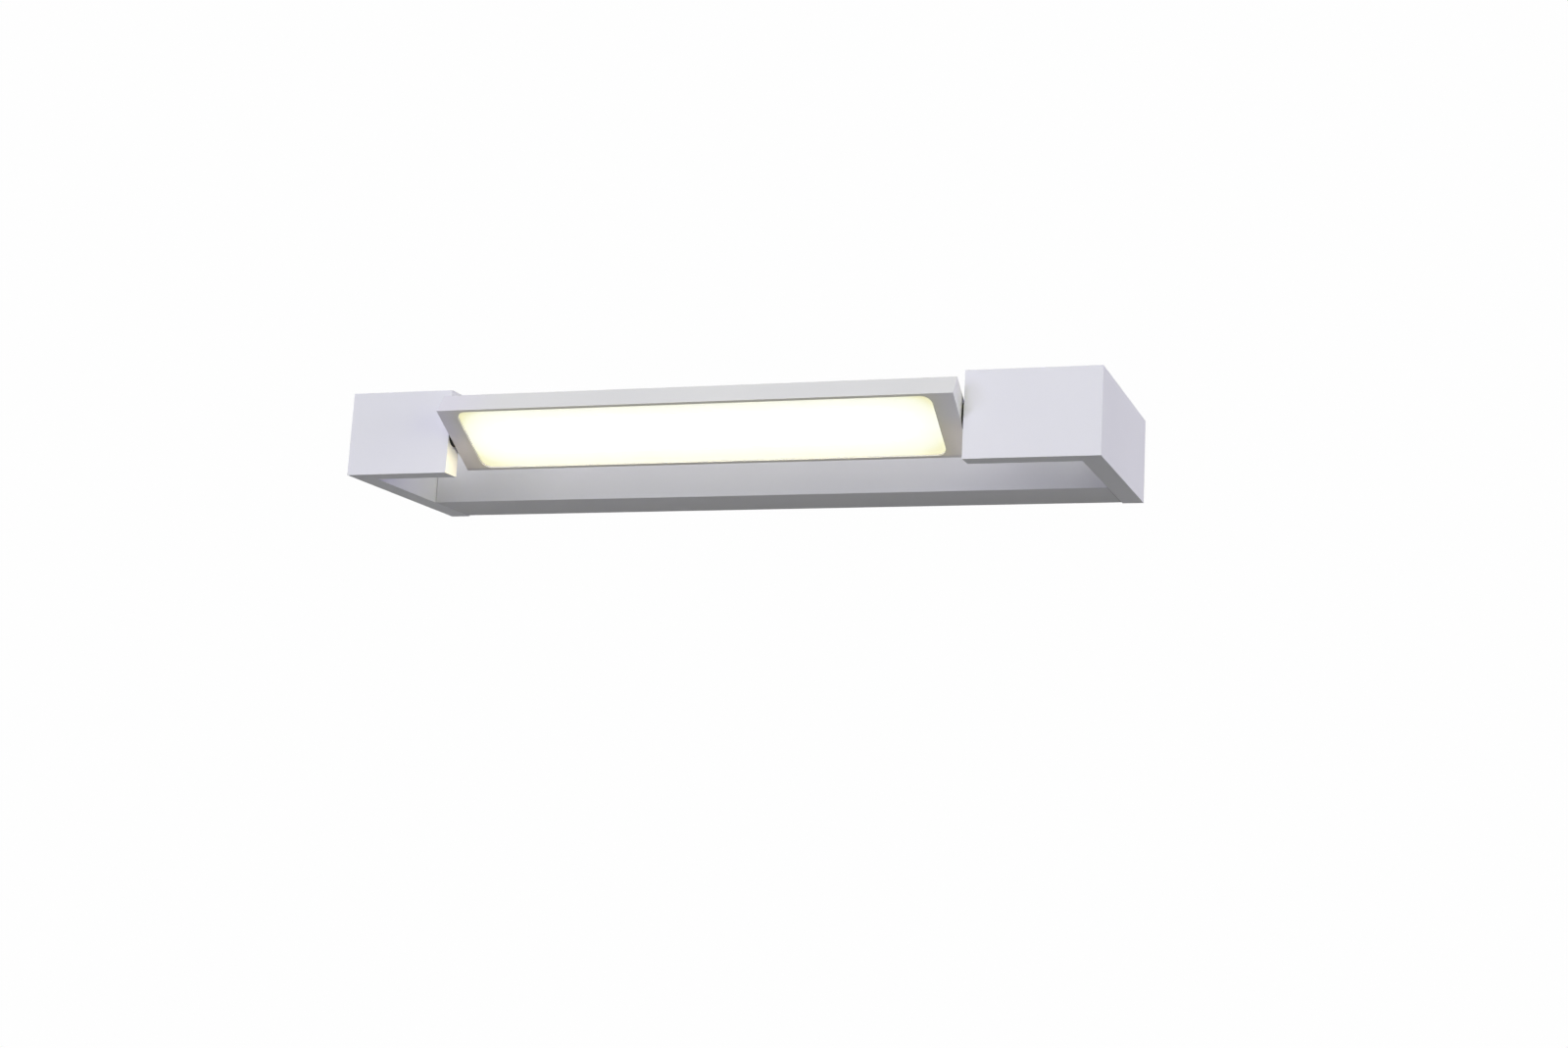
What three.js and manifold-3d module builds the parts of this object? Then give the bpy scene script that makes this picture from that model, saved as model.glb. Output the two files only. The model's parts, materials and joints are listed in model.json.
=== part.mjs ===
// Bathroom wall light: a white rectangular frame that stands out from the wall, with a flat
// glowing head in its front side. The head turns about its own long axis, on a hollow pivot at
// each end, and friction washers hold it where it is put. A bar along the wall holds the driver.
// Millimetres. +X runs along the lamp, +Y goes into the wall, +Z is up. The origin is the middle
// of the wall bracket's rear face, which lies on the wall.

import * as THREE from "three";
import { mergeVertices } from "three/addons/utils/BufferGeometryUtils.js";
import Module from "manifold-3d";

const wasm = await Module();
wasm.setup();

// Frame
const lampLength = 450;
const lampHeight = 49;
const projection = 120; // wall to the front of the frame
const armThickness = 12.5;
const returnThickness = 12; // front returns, which carry the pivots
const leftReturn = 64.5; // outer side of the frame to the end of the left return
const rightReturn = 76;
const armWall = 1.5;
const barDepth = 42; // wall to the front of the bar
const barWall = 1.5;
const barRearGap = 2.8; // the bar's housing stops this far short of the wall
const seam = 0.3; // between parts that meet
const closeFit = 0.2; // round a cover in its opening, and between the head's layers
const threadClearance = 0.1; // round screws, wires and pegs in their holes
const faceClearance = 0.1; // between faces that slide on each other
const cutOver = 2; // how far a cutting tool runs past what it cuts
const legWidth = 2.4; // legs that grip a cover in its arm
const legDepth = 5;
const legPlaceShares = [0.12, 0.5, 0.8]; // of the frame's projection

// Wall bracket
const bracketThickness = 2;
const bracketHeight = 34;
const bracketEndClearance = 4;
const tabWidth = 20;
const tabReach = 16;
const wallSlotLength = 14;
const wallSlotWidth = 5.2;
const cableHoleRadius = 8;
const cableBoreRadius = 5;
const leadHoleRadius = 4;
const leadBoreRadius = 2.4;
const grommetFlange = 2.5; // how far a grommet's flange stands out past its hole
const grommetFlangeThickness = 1.6;

// Places along the bracket, as shares of half its length
const tabShare = 0.7;
const slotShare = 0.86;
const cableShare = 0.58;
const terminalShare = 0.38;
const driverShare = -0.2;

// Screws: radius of the shank, radius of the head and height of the head
const housingScrew = { shank: 1.5, head: 2.8, rise: 1.7 };
const armScrew = { shank: 2, head: 3.5, rise: 2.4 };
const driverScrew = { shank: 1.5, head: 2.8, rise: 2 };
const earthScrew = { shank: 2, head: 3.6, rise: 2.4 };
const terminalScrew = { shank: 1.3, head: 1.9, rise: 1.2 };
const coverScrew = { shank: 1.25, head: 2.3, rise: 1.2 };
const screwEdgeShare = 0.6; // height of a head's edge, of the head's height
const screwCrownShare = 0.7; // radius of a head's flat crown, of the head's radius
const crossShare = 1.5; // length of the cross recess, of the crown's radius
const crossWidthShare = 0.4;
const crossDepthShare = 0.6; // of the head's height
const screwEngagement = 3; // how far a screw's tip stands past the wall it threads into
const housingScrewSetback = 9; // wall to the screws that hold the housing
const armScrewSetback = 24; // wall to the screws that hold the arms
const armScrewShare = 4 / 7; // height above and below the middle, of half the frame's height

// Mains terminal block
const poleCount = 3;
const polePitch = 8.6;
const poleWidth = 6.6;
const poleLength = 18;
const poleDepth = 10;
const terminalBase = 3.5;
const poleBoreRadius = 1.7;
const clampInset = 4.5;
const wireInsertion = 6;

// Driver
const driverLength = 112;
const driverHeight = 32;
const driverDepth = 23;
const driverWall = 1.6;
const driverEar = 9;
const driverEarThickness = 2.2;
const driverLidThickness = 1.8;
const boardThickness = 1.6;
const boardStandoff = 2.5;
const portDistance = 12; // bracket's face to the wires that enter the driver
const portSpread = 4.5; // wires above and below the middle
const boardPlugInset = 4;
const boardPlugLength = 4;
const boardPlugHeight = 7;
const transformerLength = 19;
const transformerHeight = 10;
const transformerDepth = 13;
const coilRadius = 5.8;
const coilOverhang = 4;
const capacitorRadius = 4.6;
const capacitorLength = 17;
const chokeRadius = 4;
const chokeLength = 9;

// Places inside the driver, as shares of its inside length
const chokeShare = 0.24;
const transformerShare = 0.42;
const capacitorShare = 0.68;

// Wires
const mainsWireRadius = 1.1;
const leadRadius = 1.3;
const leadBend = 5.2;
const wireSides = 8;
const leadSteps = 72;
const wireSteps = 24;
const tagRadius = 4;
const tagThickness = 0.8;
const crimpLength = 4;
const crimpWall = 0.6;

// Head
const headHeight = 47.2;
const headThickness = 12.8;
const headAim = 57; // degrees below the horizontal at which the light points
const headEndGap = 1.2; // between a return's end and the head
const shellWall = 1.2;
const shellEndWall = 1.5;
const shellFace = 1.8; // the shell's wall round the window
const coverThickness = 1.2;
const windowSideBorder = 1.7;
const windowEndBorder = 12;
const windowShift = 0.9; // the window sits this much nearer the head's left end
const windowCornerRadius = 6;
const lensRecess = 1; // lens below the shell's face
const lensPlate = 1.6;
const lensFlange = 3.5; // how far the lens reaches past the window at its ends
const sealThickness = 0.7;
const sealWidth = 1.2;
const trayWall = 0.8;
const trayFloor = 0.5;
const tapeThickness = 0.4;
const ledBoardThickness = 1;
const ledBoardWidth = 20;
const ledColumns = 13;
const ledRowSpacing = 12;
const ledLength = 3.5;
const ledWidth = 2.8;
const ledRise = 0.7;
const trayHoleMargin = 0.5;
const plugInset = 1.5;
const plugLength = 7;
const plugWidth = 6;
const plugWall = 1.1;
const coverScrewEngagement = 5;
const coverScrewInset = 8; // from the head's long edges

// Pivots
const pivotRadius = 3;
const pivotBoreRadius = 2;
const pivotClearance = 0.1;
const pivotFlangeRadius = 4.4;
const pivotFlangeThickness = 1.2;
const pivotPlateThickness = 3;
const pivotPastNut = 1.5;
const washerHalfWidth = 5.6;
const washerHalfHeight = 8;
const pegRadius = 0.8;
const pegPlace = 5.5; // below the axis
const collarRadius = 4.25;
const collarLength = 1.6;
const collarHubWall = 0.4;
const stopLength = 1.4;
const stopWidth = 1.2;
const springThickness = 0.5;
const springDish = 0.3;
const springRadius = 4.1;
const nutRadius = 4.2;
const nutLength = 3;
const nutSlotWidth = 1.2;
const nutSlotDepth = 0.8;

// Fineness of round shapes
const roundSides = 24;
const smallSides = 12;
const cornerSides = 6;

// Places that follow from the sizes
const halfLength = lampLength / 2;
const halfHeight = lampHeight / 2;
const armScrewRise = halfHeight * armScrewShare;
const axisY = returnThickness / 2 - projection;
const armInner = halfLength - armThickness;
const leftMouth = halfLength - leftReturn;
const rightMouth = halfLength - rightReturn;
const barHalf = armInner - seam;
const barInner = barHalf - barWall;
const bracketHalf = barInner - bracketEndClearance;
const bracketFront = -bracketThickness;
const tabTop = halfHeight - barWall - seam;
const tabX = bracketHalf * tabShare;
const slotX = bracketHalf * slotShare;
const cableX = bracketHalf * cableShare;
const terminalX = bracketHalf * terminalShare;
const driverX = bracketHalf * driverShare;
const pivotBore = pivotRadius + pivotClearance;

const finishes = {
  whitePaint: { color: 0xdedde4, roughness: 0.42, metalness: 0 },
  opalPlate: { color: 0xfffdea, roughness: 0.3, metalness: 0, emissive: 0xfffbdc },
  zincSteel: { color: 0xa9adb0, roughness: 0.38, metalness: 0.9 },
  brightSteel: { color: 0xc9cbcd, roughness: 0.25, metalness: 1 },
  rawAluminium: { color: 0xb9bbbd, roughness: 0.4, metalness: 0.9 },
  blackNylon: { color: 0x161616, roughness: 0.6, metalness: 0 },
  blackRubber: { color: 0x1b1b1c, roughness: 0.85, metalness: 0 },
  whitePlastic: { color: 0xf0efeb, roughness: 0.5, metalness: 0 },
  greenBoard: { color: 0x2c5b3a, roughness: 0.5, metalness: 0 },
  whiteBoard: { color: 0xf4f4f0, roughness: 0.45, metalness: 0 },
  ferrite: { color: 0x3a3836, roughness: 0.6, metalness: 0.2 },
  capacitorSleeve: { color: 0x20242c, roughness: 0.35, metalness: 0 },
  brownWire: { color: 0x6a3b20, roughness: 0.5, metalness: 0 },
  blueWire: { color: 0x2456a6, roughness: 0.5, metalness: 0 },
  greenWire: { color: 0x7f9a2c, roughness: 0.5, metalness: 0 },
  whiteSilicone: { color: 0xe6e6e3, roughness: 0.6, metalness: 0 },
};

const lamp = new THREE.Group();
const head = new THREE.Group();
head.position.set(0, axisY, 0);
head.rotation.x = THREE.MathUtils.degToRad(90 + headAim);
lamp.add(head);

// A three.js geometry as a solid that can be cut and joined, with its faces pointing out
function toSolid(geometry) {
  const bare = new THREE.BufferGeometry();
  bare.setAttribute("position", geometry.getAttribute("position").clone());
  if (geometry.index) bare.setIndex(geometry.index.clone());
  const merged = mergeVertices(bare, 1e-4);
  const triVerts = new Uint32Array(merged.index.array);
  const vertProperties = new Float32Array(merged.attributes.position.array);
  const made = new wasm.Manifold(new wasm.Mesh({ numProp: 3, vertProperties, triVerts }));
  if (made.volume() > 0) return made;
  for (let i = 0; i < triVerts.length; i += 3) {
    [triVerts[i + 1], triVerts[i + 2]] = [triVerts[i + 2], triVerts[i + 1]];
  }
  return new wasm.Manifold(new wasm.Mesh({ numProp: 3, vertProperties, triVerts }));
}

// A solid as a flat-shaded geometry
function toGeometry(solid) {
  const mesh = solid.getMesh();
  const corners = new Float32Array(mesh.numVert * 3);
  for (let i = 0; i < mesh.numVert; i += 1) {
    corners.set(mesh.vertProperties.subarray(i * mesh.numProp, i * mesh.numProp + 3), i * 3);
  }
  const shared = new THREE.BufferGeometry();
  shared.setAttribute("position", new THREE.BufferAttribute(corners, 3));
  shared.setIndex(new THREE.BufferAttribute(new Uint32Array(mesh.triVerts), 1));
  const flat = shared.toNonIndexed();
  flat.computeVertexNormals();
  return flat;
}

// Adds a named part to the frame or to the head
function addPart(group, name, solid, finish) {
  const mesh = new THREE.Mesh(toGeometry(solid), new THREE.MeshStandardMaterial(finishes[finish]));
  mesh.name = name;
  group.add(mesh);
}

const join = (first, ...others) => others.reduce((all, next) => all.add(next), first);
const cut = (first, ...others) => others.reduce((rest, next) => rest.subtract(next), first);
const about = (middle, width) => [middle - width / 2, middle + width / 2];
const mirrored = (side, low, high) => (side > 0 ? [low, high] : [-high, -low]);
const grow = (span, by) => [span[0] - by, span[1] + by];
const length = (span) => span[1] - span[0];

// Puts the two ends of a geometry that is centred on an axis exactly on a span's ends
function stretch(geometry, spans) {
  const corners = geometry.getAttribute("position");
  for (let i = 0; i < corners.count; i += 1) {
    const at = [corners.getX(i), corners.getY(i), corners.getZ(i)];
    corners.setXYZ(i, ...at.map((value, k) => (spans[k] ? spans[k][value > 0 ? 1 : 0] : value)));
  }
  return geometry;
}

// A box that fills three [low, high] spans
const box = (x, y, z) => toSolid(stretch(new THREE.BoxGeometry(), [x, y, z]));

// Turns a geometry built along +Y so that it lies along the named axis, and moves it
function placeAlong(geometry, axis, at) {
  if (axis === "x") geometry.rotateZ(-Math.PI / 2);
  if (axis === "z") geometry.rotateX(Math.PI / 2);
  geometry.translate(...at);
  return toSolid(geometry);
}

// A round bar over a span of the named axis; at is a point of its centre line
function rod(axis, radius, span, at, sides = roundSides) {
  const made = stretch(new THREE.CylinderGeometry(radius, radius, 1, sides), [null, span, null]);
  return placeAlong(made, axis, at);
}

// A turned piece from a profile of [radius, place along the axis] points
function turned(axis, profile, at, sides = roundSides) {
  const points = profile.map(([radius, along]) => new THREE.Vector2(radius, along));
  return placeAlong(new THREE.LatheGeometry(points, sides), axis, at);
}

// A ring between two radii over a span of the named axis
function ring(axis, inner, outer, span, at, sides = roundSides) {
  const square = [[inner, span[0]], [outer, span[0]], [outer, span[1]], [inner, span[1]]];
  return turned(axis, [...square, square[0]], at, sides);
}

// A screw with a cross recess. Its head rests at `at` and points along the axis, or against it
// where facing is -1.
function screw(axis, facing, size, reach, at) {
  const crown = size.head * screwCrownShare;
  const profile = [[0, -reach], [size.shank, -reach], [size.shank, 0], [size.head, 0]];
  profile.push([size.head, size.rise * screwEdgeShare], [crown, size.rise], [0, size.rise]);
  const body = turned(axis, profile.map(([r, along]) => [r, along * facing]), at, smallSides);
  const long = about(0, crown * crossShare);
  const narrow = about(0, crown * crossWidthShare);
  const bottom = size.rise * (1 - crossDepthShare);
  const deep = mirrored(facing, bottom, size.rise + cutOver);
  const slots = [[long, narrow], [narrow, long]].map(([a, b]) => {
    const spans = { x: [deep, a, b], y: [a, deep, b], z: [a, b, deep] }[axis];
    return box(...spans.map((span, k) => span.map((value) => value + at[k])));
  });
  return cut(body, ...slots);
}

// A flat plate with round corners in X and Y
function roundedPlate(x, y, z, radius) {
  const outline = new THREE.Shape();
  outline.absarc(x[1] - radius, y[1] - radius, radius, 0, Math.PI / 2);
  outline.absarc(x[0] + radius, y[1] - radius, radius, Math.PI / 2, Math.PI);
  outline.absarc(x[0] + radius, y[0] + radius, radius, Math.PI, 1.5 * Math.PI);
  outline.absarc(x[1] - radius, y[0] + radius, radius, 1.5 * Math.PI, 2 * Math.PI);
  const options = { depth: length(z), bevelEnabled: false, curveSegments: cornerSides };
  const made = new THREE.ExtrudeGeometry(outline, options);
  made.translate(0, 0, z[0]);
  return toSolid(made);
}

// A wire along straight runs with rounded bends between them
function wire(stops, radius, bend, steps) {
  const route = new THREE.CurvePath();
  const corners = stops.map((stop) => new THREE.Vector3(...stop));
  let from = corners[0];
  for (let i = 1; i < corners.length - 1; i += 1) {
    const before = corners[i - 1].clone().sub(corners[i]).setLength(bend).add(corners[i]);
    const after = corners[i + 1].clone().sub(corners[i]).setLength(bend).add(corners[i]);
    route.add(new THREE.LineCurve3(from, before));
    route.add(new THREE.QuadraticBezierCurve3(before, corners[i], after));
    from = after;
  }
  route.add(new THREE.LineCurve3(from, corners[corners.length - 1]));
  const section = new THREE.Shape();
  section.absarc(0, 0, radius, 0, 2 * Math.PI);
  const curveSegments = wireSides / 2;
  const options = { steps, extrudePath: route, bevelEnabled: false, curveSegments };
  return toSolid(new THREE.ExtrudeGeometry(section, options));
}

// Arms: hollow casings from the wall to the front, turned inwards there. They are open at the
// wall, and closed at the top by a cover that sits between their walls.
const tall = [-halfHeight, halfHeight];
const armDeep = [-projection, 0];
const returnDeep = [-projection, returnThickness - projection];
const returnInside = grow(returnDeep, -armWall);
const armInside = (side) => mirrored(side, armInner + armWall, halfLength - armWall);
const armScrewRises = [-armScrewRise, armScrewRise];

function arm(side, mouth) {
  const outer = join(
    box(mirrored(side, armInner, halfLength), armDeep, tall),
    box(mirrored(side, mouth, halfLength), returnDeep, tall),
  );
  const hollowTall = [armWall - halfHeight, halfHeight + cutOver];
  const hollow = join(
    box(armInside(side), [returnInside[0], cutOver], hollowTall),
    box(mirrored(side, mouth + armWall, halfLength - armWall), returnInside, hollowTall),
  );
  const innerWall = mirrored(side, armInner - cutOver, armInner + armWall + cutOver);
  const endWall = mirrored(side, mouth - cutOver, mouth + armWall + cutOver);
  const holes = armScrewRises.map((z) =>
    rod("x", armScrew.shank + threadClearance, innerWall, [0, -armScrewSetback, z]));
  holes.push(rod("x", pivotBore, endWall, [0, axisY, 0]));
  holes.push(rod("x", pegRadius + threadClearance, endWall, [0, axisY, -pegPlace], smallSides));
  return cut(outer, hollow, ...holes);
}

function armCover(side, mouth) {
  const thick = [halfHeight - armWall, halfHeight];
  const alongArm = grow(armInside(side), -closeFit);
  const acrossReturn = grow(returnInside, -closeFit);
  const plate = join(
    box(alongArm, [acrossReturn[0], -closeFit], thick),
    box(mirrored(side, mouth + armWall + closeFit, halfLength - armWall - closeFit), acrossReturn, thick),
  );
  const legs = legPlaceShares.map((share) => {
    const legTall = [thick[0] - legDepth, halfHeight - armWall / 2];
    return box(alongArm, about(-projection * share, legWidth), legTall);
  });
  return join(plate, ...legs);
}

const leadPassage = rod("x", leadHoleRadius, [-armInner - armWall - cutOver, cutOver - barInner],
  [0, -armScrewSetback, 0]);
addPart(lamp, "left_arm", cut(arm(-1, leftMouth), leadPassage), "whitePaint");
addPart(lamp, "right_arm", arm(1, rightMouth), "whitePaint");
addPart(lamp, "left_arm_cover", armCover(-1, leftMouth), "whitePaint");
addPart(lamp, "right_arm_cover", armCover(1, rightMouth), "whitePaint");

// Bar housing: front, top, bottom and ends in one piece, open towards the wall
function barHousing() {
  const outer = box([-barHalf, barHalf], [-barDepth, -barRearGap], tall);
  const hollow = box([-barInner, barInner], [barWall - barDepth, cutOver], grow(tall, -barWall));
  const endHoles = [-1, 1].flatMap((side) => armScrewRises.map((z) => {
    const through = mirrored(side, barInner - cutOver, barHalf + cutOver);
    return rod("x", armScrew.shank + threadClearance, through, [0, -armScrewSetback, z]);
  }));
  const topWall = [halfHeight - barWall - cutOver, halfHeight + cutOver];
  const topHoles = [-tabX, tabX].map((x) =>
    rod("z", housingScrew.shank + threadClearance, topWall, [x, -housingScrewSetback, 0]));
  return cut(outer, hollow, leadPassage, ...endHoles, ...topHoles);
}
addPart(lamp, "bar_housing", barHousing(), "whitePaint");

// Wall bracket: a plate with bent tabs above and below, screwed to the wall through its slots
const plateDeep = [bracketFront, 0];
const plateThrough = grow(plateDeep, cutOver);
const driverSpan = about(driverX, driverLength);
const earMiddles = [driverSpan[0] - driverEar / 2, driverSpan[1] + driverEar / 2];
const poleSpan = about(terminalX, poleLength);
const earthX = (driverSpan[1] + driverEar + poleSpan[0]) / 2;

function wallBracket() {
  const plate = box([-bracketHalf, bracketHalf], plateDeep, about(0, bracketHeight));
  const tabs = [-tabX, tabX].flatMap((x) => [-1, 1].flatMap((up) => {
    const wide = about(x, tabWidth);
    const leaf = mirrored(up, tabTop - bracketThickness, tabTop);
    return [box(wide, plateDeep, mirrored(up, 0, tabTop)), box(wide, [-tabReach, 0], leaf)];
  }));
  const slots = [-slotX, slotX].flatMap((x) => {
    const ends = about(x, wallSlotLength - wallSlotWidth);
    const rounds = ends.map((end) =>
      rod("y", wallSlotWidth / 2, plateThrough, [end, 0, 0], smallSides));
    return [box(ends, plateThrough, about(0, wallSlotWidth)), ...rounds];
  });
  const holes = earMiddles.map((x) =>
    rod("y", driverScrew.shank + threadClearance, plateThrough, [x, 0, 0], smallSides));
  holes.push(rod("y", cableHoleRadius, plateThrough, [cableX, 0, 0]));
  holes.push(rod("y", earthScrew.shank + threadClearance, plateThrough, [earthX, 0, 0]));
  const leafThrough = [tabTop - bracketThickness - cutOver, tabTop + cutOver];
  const tapped = [-tabX, tabX].map((x) =>
    rod("z", housingScrew.shank + threadClearance, leafThrough, [x, -housingScrewSetback, 0]));
  return cut(join(plate, ...tabs), ...slots, ...holes, ...tapped);
}
addPart(lamp, "wall_bracket", wallBracket(), "zincSteel");

// Screws that hold the housing to the bracket's upper tabs, and the arms to the housing's ends
const sides = { left: -1, right: 1 };
const levels = { upper: 1, lower: -1 };
Object.entries(sides).forEach(([word, side]) => {
  const housingReach = barWall + seam + bracketThickness + screwEngagement;
  const seat = [side * tabX, -housingScrewSetback, halfHeight];
  const made = screw("z", 1, housingScrew, housingReach, seat);
  addPart(lamp, `${word}_housing_screw`, made, "brightSteel");
  Object.entries(levels).forEach(([level, up]) => {
    const armReach = barWall + seam + armWall + screwEngagement;
    const armSeat = [side * barInner, -armScrewSetback, up * armScrewRise];
    const armMade = screw("x", -side, armScrew, armReach, armSeat);
    addPart(lamp, `${word}_${level}_arm_screw`, armMade, "zincSteel");
  });
});

// Rubber grommets: the mains cable's in the bracket, the lead's between housing and left arm
function grommet(axis, bore, hole, sleeve, flange, at) {
  const sleeveRing = ring(axis, bore, hole - threadClearance, sleeve, at);
  return join(sleeveRing, ring(axis, bore, hole + grommetFlange, flange, at));
}
const cableFlange = [bracketFront - grommetFlangeThickness, bracketFront];
const cableSleeve = [cableFlange[0] + grommetFlangeThickness / 2, 0];
const cableGrommet = grommet("y", cableBoreRadius, cableHoleRadius, cableSleeve, cableFlange,
  [cableX, 0, 0]);
addPart(lamp, "cable_grommet", cableGrommet, "blackRubber");
const leadFlange = [-barInner, grommetFlangeThickness - barInner];
const leadSleeve = [-armInner - armWall, leadFlange[1] - grommetFlangeThickness / 2];
const leadAt = [0, -armScrewSetback, 0];
const leadGrommet = grommet("x", leadBoreRadius, leadHoleRadius, leadSleeve, leadFlange, leadAt);
addPart(lamp, "lead_grommet", leadGrommet, "blackRubber");

// Mains terminal block: one pole above another. A screw in each clamps the wire to the driver,
// and the house's wires push in from the other side.
const poleRises = Array.from({ length: poleCount }, (_, i) => (i - (poleCount - 1) / 2) * polePitch);
const poleFront = bracketFront - terminalBase - poleDepth;
const poleBoreY = bracketFront - terminalBase - poleDepth / 2;
const clampX = poleSpan[0] + clampInset;

function terminalBlock() {
  const baseDeep = [bracketFront - terminalBase, bracketFront];
  const base = box(poleSpan, baseDeep, about(0, poleCount * polePitch));
  const poles = poleRises.map((z) => box(poleSpan, [poleFront, bracketFront], about(z, poleWidth)));
  const bores = poleRises.map((z) =>
    rod("x", poleBoreRadius, grow(poleSpan, cutOver), [0, poleBoreY, z], smallSides));
  const wells = poleRises.map((z) => {
    const deep = [poleFront - cutOver, poleBoreY];
    return rod("y", terminalScrew.head + threadClearance, deep, [clampX, 0, z], smallSides);
  });
  return cut(join(base, ...poles), ...bores, ...wells);
}
addPart(lamp, "terminal_block", terminalBlock(), "whitePlastic");
poleRises.forEach((z, i) => {
  const seat = [clampX, poleFront + terminalScrew.rise, z];
  const reach = poleBoreY - mainsWireRadius - threadClearance - seat[1];
  const made = screw("y", -1, terminalScrew, reach, seat);
  addPart(lamp, `terminal_screw_${i + 1}`, made, "zincSteel");
});

// Driver: a case with two ears on the bracket, its lid, its board and what stands on the board
const driverFront = bracketFront - driverDepth;
const driverTall = about(0, driverHeight);
const driverFloor = bracketFront - driverWall;
const driverInside = grow(driverSpan, -driverWall);
const boardBack = driverFloor - boardStandoff;
const boardFront = boardBack - boardThickness;
const wireY = bracketFront - portDistance;
const portRises = [-portSpread, portSpread];

function driverCase() {
  const shell = box(driverSpan, [driverFront, bracketFront], driverTall);
  const hollow = box(driverInside, [driverFront - cutOver, driverFloor], grow(driverTall, -driverWall));
  const ears = earMiddles.map((x, i) => {
    const earSpan = about(x, driverEar);
    earSpan[1 - i] += i ? -driverWall / 2 : driverWall / 2;
    return box(earSpan, [bracketFront - driverEarThickness, bracketFront], driverTall);
  });
  const ledgeDeep = [boardBack + closeFit, driverFloor + driverWall / 2];
  const ledges = driverInside.map((x, i) => {
    const ledgeSpan = i ? [x - boardStandoff, x + driverWall / 2] : [x - driverWall / 2, x + boardStandoff];
    return box(ledgeSpan, ledgeDeep, grow(driverTall, -driverWall / 2));
  });
  const earThrough = [bracketFront - driverEarThickness - cutOver, bracketFront + cutOver];
  const earHoles = earMiddles.map((x) =>
    rod("y", driverScrew.shank + threadClearance, earThrough, [x, 0, 0], smallSides));
  const rightWall = grow([driverInside[1], driverSpan[1]], cutOver);
  const ports = portRises.map((z) =>
    rod("x", mainsWireRadius + threadClearance, rightWall, [0, wireY, z], smallSides));
  const leftWall = grow([driverSpan[0], driverInside[0]], cutOver);
  ports.push(rod("x", leadRadius + threadClearance, leftWall, [0, wireY, 0], smallSides));
  return cut(join(cut(shell, hollow), ...ears, ...ledges), ...earHoles, ...ports);
}
addPart(lamp, "driver_case", driverCase(), "whitePlastic");

const lid = box(driverSpan, [driverFront - driverLidThickness, driverFront], driverTall);
addPart(lamp, "driver_lid", lid, "whitePlastic");

// The board, with the plugs that the wires end in: the lead's on the left, the mains' on the right
const boardSpan = grow(driverInside, -seam);
const outputPlug = [boardSpan[0] + boardPlugInset, boardSpan[0] + boardPlugInset + boardPlugLength];
const inputPlug = [boardSpan[1] - boardPlugInset - boardPlugLength, boardSpan[1] - boardPlugInset];
const plugDeep = [wireY - boardPlugHeight / 2, boardFront + boardThickness / 2];
const outputBlock = box(outputPlug, plugDeep, about(0, boardPlugHeight));
const inputBlock = box(inputPlug, plugDeep, about(0, 2 * portSpread + boardPlugHeight));
const board = box(boardSpan, [boardFront, boardBack], grow(driverTall, -driverWall - seam));
addPart(lamp, "driver_board", join(board, outputBlock, inputBlock), "greenBoard");

const insideX = (share) => driverInside[0] + length(driverInside) * share;
const onBoard = (depth) => [boardFront - depth, boardFront];
const transformerX = insideX(transformerShare);
const coreWide = about(transformerX, transformerLength);
const core = box(coreWide, onBoard(transformerDepth), about(0, transformerHeight));
const coilSpan = about(0, transformerHeight + coilOverhang);
const coil = rod("z", coilRadius, coilSpan, [transformerX, boardFront - transformerDepth / 2, 0]);
addPart(lamp, "driver_transformer", join(core, coil), "ferrite");
const capacitorAt = [insideX(capacitorShare), boardFront - capacitorRadius, 0];
const capacitor = rod("z", capacitorRadius, about(0, capacitorLength), capacitorAt);
addPart(lamp, "driver_capacitor", capacitor, "capacitorSleeve");
const choke = rod("y", chokeRadius, onBoard(chokeLength), [insideX(chokeShare), 0, 0]);
addPart(lamp, "driver_choke", choke, "ferrite");

Object.keys(sides).forEach((word, i) => {
  const seat = [earMiddles[i], bracketFront - driverEarThickness, 0];
  const made = screw("y", -1, driverScrew, driverEarThickness + bracketThickness - closeFit, seat);
  addPart(lamp, `${word}_driver_screw`, made, "zincSteel");
});

// Mains wires from the terminal block to the driver
const wireGap = [driverSpan[1] + driverEar, poleSpan[0]];
function mainsWire(up) {
  const poleZ = up * (poleCount - 1) / 2 * polePitch;
  const slopeShares = [0.25, 0.75];
  const [inner, outer] = slopeShares.map((share) => wireGap[0] + length(wireGap) * share);
  const route = [[poleSpan[0] + wireInsertion, poleBoreY, poleZ], [outer, poleBoreY, poleZ]];
  route.push([inner, wireY, up * portSpread]);
  route.push([inputPlug[1] + seam, wireY, up * portSpread]);
  return wire(route, mainsWireRadius, mainsWireRadius * 2, wireSteps);
}
addPart(lamp, "live_wire", mainsWire(1), "brownWire");
addPart(lamp, "neutral_wire", mainsWire(-1), "blueWire");

// Earth: wire from the middle pole, crimped in a tag that a screw holds on the bracket
const tagFront = bracketFront - tagThickness;
const crimpRadius = mainsWireRadius + threadClearance + crimpWall;
const crimpY = bracketFront - closeFit / 2 - crimpRadius;
const crimpSpan = [earthX + tagRadius - threadClearance, earthX + tagRadius + crimpLength];
const earthRoute = [[poleSpan[0] + wireInsertion, poleBoreY, 0]];
earthRoute.push([poleSpan[0] - mainsWireRadius, poleBoreY, 0]);
earthRoute.push([crimpSpan[1] + mainsWireRadius, crimpY, 0], [crimpSpan[0] + closeFit, crimpY, 0]);
const earthWire = wire(earthRoute, mainsWireRadius, mainsWireRadius, wireSteps);
addPart(lamp, "earth_wire", earthWire, "greenWire");

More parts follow.
